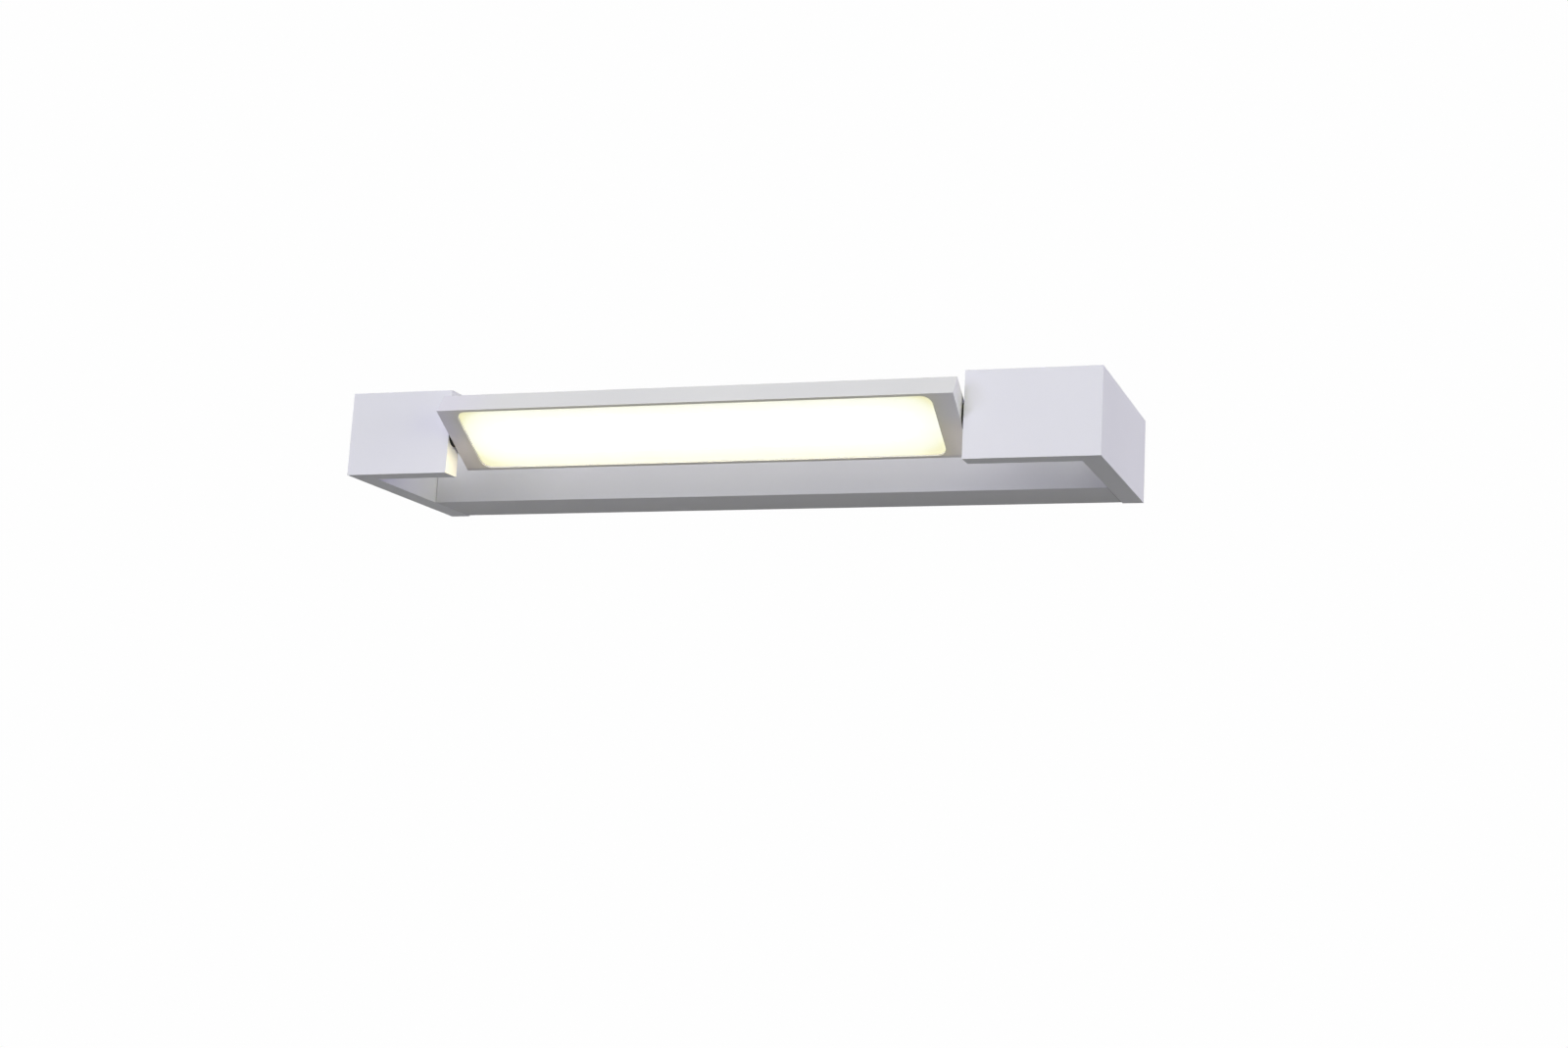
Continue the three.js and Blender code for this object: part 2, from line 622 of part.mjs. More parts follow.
const tagDisc = rod("y", tagRadius, [tagFront, bracketFront], [earthX, 0, 0]);
const tagHole = rod("y", earthScrew.shank + threadClearance, plateThrough, [earthX, 0, 0]);
const tagNeck = box([crimpSpan[0] - tagThickness, crimpSpan[1]], [tagFront, bracketFront - closeFit / 2],
  about(0, crimpRadius));
const crimp = rod("x", crimpRadius, crimpSpan, [0, crimpY, 0], smallSides);
const crimpBore = rod("x", mainsWireRadius + threadClearance, grow(crimpSpan, cutOver), [0, crimpY, 0]);
const earthTag = cut(join(cut(tagDisc, tagHole), tagNeck, crimp), crimpBore);
addPart(lamp, "earth_tag", earthTag, "brightSteel");
const earthReach = tagThickness + bracketThickness - closeFit;
const earthMade = screw("y", -1, earthScrew, earthReach, [earthX, tagFront, 0]);
addPart(lamp, "earth_screw", earthMade, "brightSteel");

// Low-voltage lead: driver, left arm, left return, then through the pivot's bore into the head
const headX = [headEndGap - leftMouth, rightMouth - headEndGap];
const windowX = grow(headX, -windowEndBorder).map((x) => x - windowShift);
const lensX = grow(headX, lensFlange - windowEndBorder);
const headPlug = [lensX[0] + trayWall + plugInset, lensX[0] + trayWall + plugInset + plugLength];
const leadEnd = headPlug[0] + plugLength / 2;
const armMiddle = -armInner - armThickness / 2;
const driverLeft = driverSpan[0] - driverEar;
const leadSlopeShares = [0.2, 0.8]; // of the way from the driver's ear to the housing's end
const [slopeStart, slopeEnd] = leadSlopeShares.map((share) => driverLeft - (barInner + driverLeft) * share);
const leadRoute = [[outputPlug[0] - seam, wireY, 0], [slopeStart, wireY, 0]];
leadRoute.push([slopeEnd, -armScrewSetback, 0], [armMiddle, -armScrewSetback, 0]);
leadRoute.push([armMiddle, axisY, 0], [leadEnd, axisY, 0]);
addPart(lamp, "low_voltage_lead", wire(leadRoute, leadRadius, leadBend, leadSteps), "whiteSilicone");

// Pivots. Places along them are measured outwards from a return's end face.
const beyond = (side, mouth, span) => mirrored(side, mouth + span[0], mouth + span[1]);
const washerSpan = [faceClearance - headEndGap, -faceClearance / 2];
const plateSpan = [armWall + closeFit, armWall + closeFit + pivotPlateThickness];
const lugSpan = [plateSpan[1] + faceClearance, plateSpan[1] + faceClearance + stopLength];
const collarSpan = [lugSpan[1], lugSpan[1] + collarLength];
const hubRadius = pivotBore + collarHubWall;
const stopSpan = [hubRadius + faceClearance, collarRadius];

// Spring washer, lock nut and tube end, from the face that the spring washer presses on
function pivotStack(face) {
  const spring = [face + faceClearance, face + faceClearance + springDish + springThickness];
  const nut = [spring[1] + faceClearance, spring[1] + faceClearance + nutLength];
  return { spring, nut, end: nut[1] + pivotPastNut };
}
const pivots = {
  left: { side: -1, mouth: leftMouth, ...pivotStack(collarSpan[1]) },
  right: { side: 1, mouth: rightMouth, ...pivotStack(plateSpan[1]) },
};

// Plates inside the returns' ends take the pivots' load; the left one has the stop's fixed lug
function pivotPlate({ side, mouth }) {
  const plateTall = [armWall + closeFit - halfHeight, halfHeight - armWall - closeFit];
  const plate = box(beyond(side, mouth, plateSpan), grow(returnInside, -closeFit), plateTall);
  const bore = rod("x", pivotBore, beyond(side, mouth, grow(plateSpan, cutOver)), [0, axisY, 0]);
  return cut(plate, bore);
}
const fixedLugSpan = [plateSpan[1] - pivotPlateThickness / 2, lugSpan[1] - faceClearance];
const fixedLug = box(beyond(-1, leftMouth, fixedLugSpan), about(axisY, stopWidth),
  [-stopSpan[1], -stopSpan[0]]);
addPart(lamp, "left_pivot_plate", join(pivotPlate(pivots.left), fixedLug), "zincSteel");
addPart(lamp, "right_pivot_plate", pivotPlate(pivots.right), "zincSteel");

// Friction washers fill the gaps beside the head; a peg keeps each from turning
function frictionWasher({ side, mouth }) {
  const thick = beyond(side, mouth, washerSpan);
  const straight = about(0, 2 * (washerHalfHeight - washerHalfWidth));
  const middle = box(thick, about(axisY, 2 * washerHalfWidth), straight);
  const rounds = straight.map((z) => rod("x", washerHalfWidth, thick, [0, axisY, z]));
  const pegReach = beyond(side, mouth, [washerSpan[0] / 2, armWall - faceClearance]);
  const peg = rod("x", pegRadius, pegReach, [0, axisY, -pegPlace], smallSides);
  const bore = rod("x", pivotBore, beyond(side, mouth, grow(washerSpan, cutOver)), [0, axisY, 0]);
  return cut(join(middle, ...rounds, peg), bore);
}

// Blocks inside the head's ends hold the pivot tubes by their flanges
const headFace = headThickness / 2;
const faceInside = headFace - shellFace;
const blockDeep = [coverThickness + closeFit - headFace, faceInside - closeFit];
const insideY = grow(about(0, headHeight), -shellWall - closeFit);
const blockLength = windowEndBorder - lensFlange - shellEndWall - 2 * closeFit;
const blockEnd = -headEndGap - shellEndWall - closeFit;
const blockSpan = [blockEnd - blockLength, blockEnd];
const blockX = ({ side, mouth }) => mouth * side + side * (blockSpan[0] + blockLength / 2);
const coverScrewRises = grow(about(0, headHeight), -coverScrewInset);

function pivotBlock({ side, mouth }) {
  const block = box(beyond(side, mouth, blockSpan), insideY, blockDeep);
  const bore = rod("x", pivotBore, beyond(side, mouth, grow(blockSpan, cutOver)), [0, 0, 0]);
  const sinkSpan = [blockSpan[0] - cutOver, blockSpan[0] + pivotFlangeThickness + closeFit];
  const sink = rod("x", pivotFlangeRadius + threadClearance, beyond(side, mouth, sinkSpan), [0, 0, 0]);
  const tapped = coverScrewRises.map((y) => rod("z", coverScrew.shank + threadClearance,
    grow(blockDeep, cutOver), [blockX({ side, mouth }), y, 0]));
  return cut(block, bore, sink, ...tapped);
}

function pivotTube({ side, mouth, end }) {
  const flangeEnd = blockSpan[0] + pivotFlangeThickness;
  const tube = ring("x", pivotBoreRadius, pivotRadius, beyond(side, mouth, [blockSpan[0], end]), [0, 0, 0]);
  const flangeSpan = beyond(side, mouth, [blockSpan[0], flangeEnd]);
  return join(tube, ring("x", pivotBoreRadius, pivotFlangeRadius, flangeSpan, [0, 0, 0]));
}

function springWasher({ side, mouth, spring }) {
  const rim = spring[0] + springDish;
  const profile = [[pivotBore, spring[0]], [springRadius, rim], [springRadius, spring[1]]];
  profile.push([pivotBore, spring[1] - springDish], profile[0]);
  return turned("x", profile.map(([r, s]) => [r, side * (mouth + s)]), [0, 0, 0]);
}

function lockNut({ side, mouth, nut }) {
  const body = ring("x", pivotBore, nutRadius, beyond(side, mouth, nut), [0, 0, 0]);
  const deep = beyond(side, mouth, [nut[1] - nutSlotDepth, nut[1] + cutOver]);
  return cut(body, box(deep, about(0, 2 * nutRadius + cutOver), about(0, nutSlotWidth)));
}

Object.entries(pivots).forEach(([word, pivot]) => {
  addPart(lamp, `${word}_friction_washer`, frictionWasher(pivot), "blackNylon");
  addPart(head, `${word}_pivot_block`, pivotBlock(pivot), "rawAluminium");
  addPart(head, `${word}_pivot_tube`, pivotTube(pivot), "brightSteel");
  addPart(head, `${word}_spring_washer`, springWasher(pivot), "brightSteel");
  addPart(head, `${word}_lock_nut`, lockNut(pivot), "brightSteel");
});

// Stop collar: turns with the left tube. Its lug meets the fixed lug at both ends of the tilt.
const collarRing = ring("x", pivotBore, collarRadius, beyond(-1, leftMouth, collarSpan), [0, 0, 0]);
const hubSpan = [lugSpan[0], collarSpan[1] - collarLength / 2];
const collarHub = ring("x", pivotBore, hubRadius, beyond(-1, leftMouth, hubSpan), [0, 0, 0]);
const turningLugSpan = beyond(-1, leftMouth, [lugSpan[0] + faceClearance, hubSpan[1]]);
const turningLug = box(turningLugSpan, [hubRadius - threadClearance, collarRadius - threadClearance],
  about(0, stopWidth));
addPart(head, "stop_collar", join(collarRing, collarHub, turningLug), "brightSteel");

// Head shell: window, sides and ends in one piece, open behind
const windowY = about(0, headHeight - 2 * windowSideBorder);

function headShell() {
  const outer = box(headX, about(0, headHeight), [-headFace, headFace]);
  const hollowY = about(0, headHeight - 2 * shellWall);
  const hollow = box(grow(headX, -shellEndWall), hollowY, [-headFace - cutOver, faceInside]);
  const windowDeep = [faceInside - cutOver, headFace + cutOver];
  const window = roundedPlate(windowX, windowY, windowDeep, windowCornerRadius);
  const tubeHoles = rod("x", pivotBore, grow(headX, cutOver), [0, 0, 0]);
  return cut(outer, hollow, window, tubeHoles);
}
addPart(head, "head_shell", headShell(), "whitePaint");

// Lens: a plate behind the shell's face, with a raised part that fills the window
const lensTop = faceInside - closeFit;
const lensDeep = [lensTop - lensPlate, lensTop];
const raisedDeep = [lensTop - lensPlate / 2, headFace - lensRecess];
const raised = roundedPlate(grow(windowX, -closeFit), grow(windowY, -closeFit), raisedDeep,
  windowCornerRadius - closeFit);
addPart(head, "lens", join(box(lensX, insideY, lensDeep), raised), "opalPlate");

// Layers from the back: cover, tape, board with the diodes, tray, seal
const coverDeep = [-headFace, coverThickness - headFace];
const tapeDeep = [coverDeep[1] + closeFit, coverDeep[1] + closeFit + tapeThickness];
const boardDeep = [tapeDeep[1] + closeFit, tapeDeep[1] + closeFit + ledBoardThickness];
const sealDeep = [lensDeep[0] - closeFit - sealThickness, lensDeep[0] - closeFit];
const trayDeep = [boardDeep[1] + closeFit, sealDeep[0] - closeFit];
const boardY = about(0, ledBoardWidth);

const pivotList = Object.values(pivots);
const coverHoles = pivotList.flatMap((pivot) => coverScrewRises.map((y) =>
  rod("z", coverScrew.shank + threadClearance, grow(coverDeep, cutOver), [blockX(pivot), y, 0])));
const coverPlate = box(grow(headX, -shellEndWall - closeFit), insideY, coverDeep);
addPart(head, "back_cover", cut(coverPlate, ...coverHoles), "whitePaint");
Object.entries(pivots).forEach(([word, pivot]) => {
  ["rear", "front"].forEach((edge, i) => {
    const seat = [blockX(pivot), coverScrewRises[i], -headFace];
    const reach = coverThickness + closeFit + coverScrewEngagement;
    const made = screw("z", -1, coverScrew, reach, seat);
    addPart(head, `${word}_${edge}_cover_screw`, made, "brightSteel");
  });
});

addPart(head, "thermal_tape", box(lensX, boardY, tapeDeep), "whiteSilicone");

// The diodes stand in two rows; each has a hole in the tray's floor round it
const ledPitch = length(windowX) / ledColumns;
const ledPlaces = Array.from({ length: ledColumns }, (_, i) => windowX[0] + (i + 1 / 2) * ledPitch)
  .flatMap((x) => about(0, ledRowSpacing).map((y) => [x, y]));
const onLed = (place, margin, deep) =>
  box(grow(about(place[0], ledLength), margin), grow(about(place[1], ledWidth), margin), deep);

function ledBoard() {
  const plate = box(lensX, boardY, boardDeep);
  const diodes = ledPlaces.map((place) =>
    onLed(place, 0, [boardDeep[1] - ledBoardThickness / 2, boardDeep[1] + ledRise]));
  const plugTall = [boardDeep[1] - ledBoardThickness / 2, leadRadius + plugWall];
  const plug = box(headPlug, about(0, plugWidth), plugTall);
  const socketSpan = [headPlug[0] - cutOver, leadEnd + closeFit];
  const socket = rod("x", leadRadius + threadClearance, socketSpan, [0, 0, 0], smallSides);
  return join(plate, ...diodes, cut(plug, socket));
}
addPart(head, "led_board", ledBoard(), "whiteBoard");

function reflectorTray() {
  const outer = box(lensX, insideY, trayDeep);
  const hollowDeep = [trayDeep[0] + trayFloor, trayDeep[1] + cutOver];
  const hollow = box(grow(lensX, -trayWall), grow(insideY, -trayWall), hollowDeep);
  const floorThrough = grow([trayDeep[0], hollowDeep[0]], cutOver);
  const ledHoles = ledPlaces.map((place) => onLed(place, trayHoleMargin, floorThrough));
  const plugAcross = grow(about(0, plugWidth), trayHoleMargin);
  const plugHole = box(grow(headPlug, trayHoleMargin), plugAcross, floorThrough);
  const endWall = [lensX[0] - cutOver, lensX[0] + trayWall + closeFit];
  const leadHole = rod("x", leadRadius + threadClearance, endWall, [0, 0, 0], smallSides);
  return cut(outer, hollow, ...ledHoles, plugHole, leadHole);
}
addPart(head, "reflector_tray", reflectorTray(), "whitePlastic");

const sealHole = box(grow(lensX, -sealWidth), grow(insideY, -sealWidth), grow(sealDeep, cutOver));
addPart(head, "lens_seal", cut(box(lensX, insideY, sealDeep), sealHole), "blackRubber");

export default lamp;
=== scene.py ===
"""Looks of a bathroom wall light: a white powder-coated frame that stands out from the wall, with a flat
glowing head that tilts in its front side. Metres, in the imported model's frame: +X runs along the lamp,
+Y goes into the wall and +Z is up."""

import json
import math

import bpy
from mathutils import Matrix, Vector


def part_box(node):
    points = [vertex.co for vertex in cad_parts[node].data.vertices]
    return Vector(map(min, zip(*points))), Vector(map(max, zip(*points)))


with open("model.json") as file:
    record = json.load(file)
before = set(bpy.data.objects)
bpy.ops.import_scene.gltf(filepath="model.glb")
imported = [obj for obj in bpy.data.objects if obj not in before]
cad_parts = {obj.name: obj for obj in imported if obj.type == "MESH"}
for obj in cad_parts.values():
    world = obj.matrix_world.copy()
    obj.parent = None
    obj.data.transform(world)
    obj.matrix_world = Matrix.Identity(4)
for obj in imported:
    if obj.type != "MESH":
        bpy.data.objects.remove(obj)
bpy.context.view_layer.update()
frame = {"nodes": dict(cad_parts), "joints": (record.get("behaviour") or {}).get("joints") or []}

MM = 0.001
ON_FACE = 0.3 * MM  # a point this close to a flat face's plane counts as on the face
ON_SMALL_FACE = 0.1 * MM  # and this close on the smallest parts
_, BAR_FRONT, BAR_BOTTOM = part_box("bar_housing")[0]  # the lowest corner of the bar along the wall
BAR_PAINTED_SHADES = (0.85, 0.6)  # painted shade on its coat, at the front edge of the underside and at the wall

# The head's own frame: X along it, Y across the window towards its front edge, Z out of its lit face
HEAD_AXIS = tuple(frame["joints"][0]["pos_m"])  # the tilt axis runs along X through this point
HEAD_TURN = math.radians(147)  # how far this frame is turned about X
HEAD_FACE = 6.4 * MM  # the height of the face round the window
DIODE_TOPS = -2.72 * MM  # and of the diodes behind it
WINDOW_MIDDLE = (-0.00665, 0)
WINDOW_HALF = (0.14155, 0.0219)
WINDOW_CORNER = 6 * MM  # radius
COOL_END = (-0.15, -0.12)  # the head's coat is cooler to the left of the first place, not past the second

# The lit plate
GLOW = 28.0  # the radiance of its middle
GLOW_FALL = 9 * MM  # how quickly the light falls off towards the window's edges
EDGE_LOSSES = (0.17, 0.15, 0.3, 0.22)  # at the window's left, right, rear and front edges
CORNER_LOSS = 0.45
PLATE_SHADES = (  # share of the light that is left, and the radiance there in red, green and blue
    (0.4, 0.646, 0.62, 0.33),
    (0.58, 0.668, 0.65, 0.37),
    (0.66, 0.705, 0.71, 0.47),
    (0.71, 0.735, 0.745, 0.55),
    (0.81, 0.752, 0.76, 0.65),
    (0.9, 0.8, 0.8, 0.75),
    (0.93, GLOW, 0.87 * GLOW, 0.48 * GLOW),
)

# Its light on the face round the window, painted into the head's coat as a faint glow
SPILL_FRONT = (0.108, 0.103, 0.114, 1)  # towards the face's front edge
SPILL_REAR = (0.138, 0.118, 0.1, 1)  # and towards its rear edge
SPILL_TURN = (8 * MM, -4 * MM)  # the places across the window between which the one becomes the other
SPILL_TINT = (1, 1, 0.4, 1)  # the light beside the window is this much of it
SPILL_REACH = 6 * MM  # how far that tint goes
REAR_BORDER_SHARE = 0.45  # of the light, on the narrow border behind the window


# Materials are built from nodes by these helpers

class Tree:
    """Adds nodes to a material or world and links them."""

    def __init__(self, owner):
        owner.use_nodes = True
        self.nodes = owner.node_tree.nodes
        self.links = owner.node_tree.links
        self.nodes.clear()

    def add(self, kind, inputs=None, **settings):
        made = self.nodes.new(kind)
        for key, value in settings.items():
            setattr(made, key, value)
        self.feed(made, inputs or {})
        return made

    def feed(self, node, inputs):
        """Sets a node's inputs, each to a number or colour or to another node's output."""
        for key, value in inputs.items():
            socket = node.inputs[key]
            if isinstance(value, bpy.types.NodeSocket):
                self.links.new(value, socket)
            else:
                socket.default_value = value

    def math(self, operation, *values):
        return self.add("ShaderNodeMath", dict(enumerate(values)), operation=operation).outputs[0]

    def ramp(self, value, *stops):
        """Colours along a value: stops are (place, colour) pairs."""
        made = self.add("ShaderNodeValToRGB", {0: value})
        row = made.color_ramp.elements
        while len(row) < len(stops):
            row.new(1)
        for element, (place, colour) in zip(row, stops):
            element.position = place
            element.color = colour if len(colour) == 4 else (*colour, 1)
        return made.outputs[0]

    def spread(self, value, low, high, to_low=0.0, to_high=1.0):
        """Takes a value's range from low to high to another range, and holds it there."""
        inputs = {0: value, 1: low, 2: high, 3: to_low, 4: to_high}
        return self.add("ShaderNodeMapRange", inputs).outputs[0]

    def noise(self, place, scale, detail=2.0, roughness=0.5):
        """Noise with about that many waves to the metre."""
        inputs = {"Vector": place, "Scale": scale, "Detail": detail, "Roughness": roughness}
        return self.add("ShaderNodeTexNoise", inputs).outputs[0]

    def shades(self, noise, dark, light):
        """Colours from dark to light; most of a noise lies between 0.3 and 0.7."""
        return self.ramp(noise, (0.3, dark), (0.7, light))

    def levels(self, noise, low, high):
        """Numbers from low to high, over the same part of a noise."""
        return self.spread(noise, 0.3, 0.7, low, high)

    def mix(self, share, first, second, blend_type="MIX"):
        inputs = {0: share, 6: first, 7: second}
        return self.add("ShaderNodeMix", inputs, data_type="RGBA", blend_type=blend_type).outputs[2]

    def times(self, first, second):
        return self.mix(1.0, first, second, "MULTIPLY")

    def bump(self, height, distance, strength, normal=None):
        inputs = {"Height": height, "Distance": distance, "Strength": strength}
        if normal is not None:
            inputs["Normal"] = normal
        return self.add("ShaderNodeBump", inputs).outputs[0]

    def axes(self, place):
        """A point's X, Y and Z."""
        return self.add("ShaderNodeSeparateXYZ", {0: place}).outputs

    def stretch(self, place, scale):
        return self.add("ShaderNodeMapping", {"Vector": place, "Scale": scale}).outputs[0]

    def past(self, height, limit):
        """1 where a point is further than the limit above or below the middle, and 0 elsewhere."""
        return self.spread(self.math("ABSOLUTE", height), limit, limit + ON_SMALL_FACE)


def grey(value):
    return (value, value, value, 1)


def srgb(red, green, blue):
    """A colour as it reads in a picture, from 0 to 255, in linear light."""
    channels = [c / 255 for c in (red, green, blue)]
    return (*[c / 12.92 if c <= 0.04045 else ((c + 0.055) / 1.055) ** 2.4 for c in channels], 1)


def start(name):
    material = bpy.data.materials.new(name)
    tree = Tree(material)
    place = tree.add("ShaderNodeTexCoord").outputs["Object"]
    shader = tree.add("ShaderNodeBsdfPrincipled")
    tree.add("ShaderNodeOutputMaterial", {"Surface": shader.outputs[0]})
    return material, tree, place, shader


def head_place(t, place):
    """A point's X, Y and Z in the head's own frame."""
    turn = {"Vector": place, "Location": HEAD_AXIS, "Rotation": (HEAD_TURN, 0, 0)}
    return t.axes(t.add("ShaderNodeMapping", turn, vector_type="TEXTURE").outputs[0])


def inside_window(t, x, y):
    """How far a point is inside the window's left, right, rear and front edges."""
    depths = []
    for value, middle, half in zip((x, y), WINDOW_MIDDLE, WINDOW_HALF):
        depths.append(t.math("SUBTRACT", value, middle - half))
        depths.append(t.math("SUBTRACT", middle + half, value))
    return depths


def outside_window(t, left, right, rear, front):
    """How far a point is from the window, whose corners are round. It is 0 inside the window."""
    squares = []
    for pair in ((left, right), (rear, front)):
        reach = t.math("SUBTRACT", WINDOW_CORNER, t.math("MINIMUM", *pair))
        reach = t.math("MAXIMUM", reach, 0.0)
        squares.append(t.math("MULTIPLY", reach, reach))
    reach = t.math("SQRT", t.math("ADD", *squares))
    return t.math("MAXIMUM", t.math("SUBTRACT", reach, WINDOW_CORNER), 0.0)


def powder_coat(name, light, dark):
    """Fine matt powder coat: a slight orange peel, finer grain on it, and faint broad unevenness."""
    material, t, place, shader = start(name)
    broad = t.noise(place, 14, 3)
    grain = t.noise(place, 2600)
    peel = t.noise(place, 520, 2, 0.4)
    tone = t.math("ADD", t.math("MULTIPLY", broad, 0.7), t.math("MULTIPLY", grain, 0.3))
    t.feed(shader, {
        "Base Color": t.shades(tone, dark, light),
        "Roughness": t.levels(grain, 0.4, 0.5),
        "Specular IOR Level": 0.3,
        "Normal": t.bump(grain, 0.012 * MM, 0.5, t.bump(peel, 0.05 * MM, 0.55)),
    })
    return material, t, place, shader


def head_coat(name, light, dark, left_tone):
    """The same coat on the head, cooler at its left end. Painted light, a faint emission in the coat,
    stands for the lamp's light on the face round the window, warmer towards the rear and yellower beside
    the window."""
    material, t, place, shader = powder_coat(name, light, dark)
    coat = shader.inputs["Base Color"].links[0].from_socket
    x, y, z = head_place(t, place)
    left, right, rear, front = inside_window(t, x, y)
    away = outside_window(t, left, right, rear, front)
    beside = t.math("EXPONENT", t.math("DIVIDE", away, -SPILL_REACH))
    # painted light: the coat glows a little round the window
    painted_spill = t.mix(t.spread(y, *SPILL_TURN), SPILL_FRONT, SPILL_REAR)
    painted_spill = t.times(painted_spill, t.mix(beside, grey(1), SPILL_TINT))
    painted_spill = t.times(painted_spill, t.spread(rear, -ON_FACE, 0.0, REAR_BORDER_SHARE, 1.0))
    face = t.math("COMPARE", z, HEAD_FACE, ON_FACE)
    t.feed(shader, {
        "Base Color": t.mix(t.spread(x, *COOL_END), left_tone, coat),
        "Emission Color": t.mix(face, grey(0), painted_spill),
        "Emission Strength": 1.0,
    })
    return material


def bar_coat(name, light, dark):
    """The same coat on the bar, with painted shade: its underside is a little darker towards the wall."""
    material, t, place, shader = powder_coat(name, light, dark)
    coat = shader.inputs["Base Color"].links[0].from_socket
    _, y, z = t.axes(place)
    at_front, at_wall = BAR_PAINTED_SHADES
    # painted shade on the underside, darker towards the wall
    shade = t.ramp(t.spread(y, BAR_FRONT, 0.0), (0.0, grey(at_front)), (1.0, grey(at_wall)))
    under = t.math("COMPARE", z, BAR_BOTTOM, ON_FACE)
    t.feed(shader, {"Base Color": t.times(coat, t.mix(under, grey(1), shade))})
    return material


def opal_plate(name):
    """Satin opal plastic, lit from behind by rows of diodes: white in the middle, dimmer and yellower
    towards its edges and most of all in its corners."""
    material, t, place, shader = start(name)
    x, y, _ = head_place(t, place)
    falls = []
    for depth in inside_window(t, x, y):
        falls.append(t.math("EXPONENT", t.math("DIVIDE", depth, -GLOW_FALL)))
    cloud = t.noise(place, 60)
    grain = t.noise(place, 1800)
    near = t.math("MULTIPLY_ADD", cloud, 0.02, 0.99)
    for fall, loss in zip(falls, EDGE_LOSSES):
        near = t.math("MULTIPLY", near, t.math("SUBTRACT", 1.0, t.math("MULTIPLY", fall, loss)))
    corner = t.math("MULTIPLY", t.math("MAXIMUM", *falls[:2]), t.math("MAXIMUM", *falls[2:]))
    near = t.math("MULTIPLY_ADD", corner, -CORNER_LOSS, near)
    glow = [(share, [channel / GLOW for channel in colour]) for share, *colour in PLATE_SHADES]
    t.feed(shader, {
        "Base Color": t.shades(cloud, (0.78, 0.77, 0.7), (0.84, 0.83, 0.77)),
        "Roughness": t.levels(grain, 0.28, 0.36),
        "Normal": t.bump(grain, 0.01 * MM, 0.4),
        "Emission Color": t.ramp(near, *glow),
        "Emission Strength": GLOW,
    })
    return material


def plated_metal(name, light, dark, roughness, grain_scale, spangle=0.0):
    """Metal with a fine drawn or rolled grain along X, and faint cloudiness in its plating."""
    material, t, place, shader = start(name)
    grain = t.noise(t.stretch(place, (0.06, 1, 1)), grain_scale, 3, 0.6)
    cloud = t.noise(place, 90, 3)
    tone = t.math("ADD", t.math("MULTIPLY", grain, 0.5), t.math("MULTIPLY", cloud, 0.5))
    if spangle:
        cells = t.add("ShaderNodeTexVoronoi", {"Vector": place, "Scale": 260.0}).outputs["Distance"]
        tone = t.math("ADD", tone, t.math("MULTIPLY", cells, spangle))
    t.feed(shader, {
        "Base Color": t.shades(tone, dark, light),
        "Metallic": 1.0,
        "Roughness": t.spread(grain, 0.2, 0.8, roughness - 0.07, roughness + 0.09),
        "Normal": t.bump(grain, 0.01 * MM, 0.6),
    })
    return material


def moulded(name, light, dark, roughness, grain_scale=1500.0, depth=0.02, specular=0.5):
    """Moulded plastic or rubber: spark-eroded grain in its surface and a slightly mottled colour."""
    material, t, place, shader = start(name)
    grain = t.noise(place, grain_scale, 3, 0.6)
    mottle = t.noise(place, 120, 3)
    t.feed(shader, {
        "Base Color": t.shades(mottle, dark, light),
        "Roughness": t.levels(grain, roughness - 0.06, roughness + 0.08),
        "Specular IOR Level": specular,
        "Normal": t.bump(grain, depth * MM, 0.5),
    })
    return material


def circuit_board(name, mask, copper):
    """Solder mask with tracks that show through it as slightly lighter lines, on an upright board."""
    material, t, place, shader = start(name)
    x, _, z = t.axes(place)
    upright = t.add("ShaderNodeCombineXYZ", {0: x, 1: z}).outputs[0]
    tracks = t.add("ShaderNodeTexBrick", {
        "Vector": upright, "Color1": mask, "Color2": mask, "Mortar": copper, "Scale": 160.0,
        "Mortar Size": 0.03, "Brick Width": 1.3, "Row Height": 0.42,
    })
    speckle = t.noise(place, 900)
    showing = t.spread(speckle, 0.4, 0.7, 0.0, 0.12)
    t.feed(shader, {
        "Base Color": t.mix(showing, tracks.outputs["Color"], copper),
        "Roughness": t.levels(speckle, 0.36, 0.5),
        "Normal": t.bump(tracks.outputs["Fac"], 0.03 * MM, 0.5),
    })
    return material


def diode_board(name):
    """White solder mask; the diodes that stand on it are yellow on top."""
    material, t, place, shader = start(name)
    _, _, height = head_place(t, place)
    speckle = t.noise(place, 700)
    white = t.shades(speckle, (0.8, 0.8, 0.77), (0.88, 0.88, 0.86))
    yellow = t.shades(speckle, (0.85, 0.62, 0.08), (0.9, 0.7, 0.12))
    tops = t.math("COMPARE", height, DIODE_TOPS, ON_SMALL_FACE)
    t.feed(shader, {
        "Base Color": t.mix(tops, white, yellow),
        "Roughness": t.levels(speckle, 0.35, 0.5),
    })
    return material


def wound_ferrite(name, core_half):
    """Dark ferrite, with the winding's tape where the coil stands out of the core above and below."""
    material, t, place, shader = start(name)
    _, _, z = t.axes(place)
    grain = t.noise(place, 800, 3)
    core = t.shades(grain, (0.03, 0.029, 0.028), (0.06, 0.057, 0.054))
    tape = t.shades(grain, (0.5, 0.36, 0.03), (0.62, 0.46, 0.06))
    t.feed(shader, {
        "Base Color": t.mix(t.past(z, core_half), core, tape),
        "Roughness": t.levels(grain, 0.5, 0.65),
        "Normal": t.bump(grain, 0.02 * MM, 0.5),
    })
    return material


